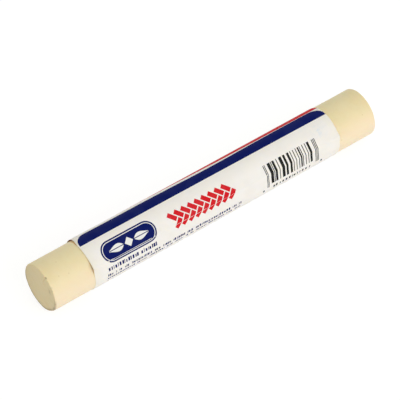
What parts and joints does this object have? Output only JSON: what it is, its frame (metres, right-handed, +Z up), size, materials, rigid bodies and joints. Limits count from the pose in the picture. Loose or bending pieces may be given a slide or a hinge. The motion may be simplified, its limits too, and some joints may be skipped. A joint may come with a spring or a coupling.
{
  "type": "furniture repair wax stick",
  "caption": "Round cast stick of filler wax in a rolled paper label, rubbed into scratches and nicks in furniture.",
  "frame": {"origin": "under the middle of the stick as it lies on its side, on the surface that carries it", "axes": "+X along the rod from the front end to the rear end, +Z up"},
  "size_m": [0.1228, 0.0162, 0.0164],
  "materials": {
    "wax": "satin",
    "label_paper": "matte",
    "dried_glue": "satin"
  },
  "bodies": {
    "rod": {"wax_stick": "wax"},
    "sleeve": {"label_sleeve": "label_paper", "seam_glue": "dried_glue"}
  },
  "joints": [
    {"name": "sleeve_slide", "type": "slide", "parent": "rod", "child": "sleeve", "axis": [1, 0, 0], "range_m": [-0.0145, 0.0145]}
  ]
}
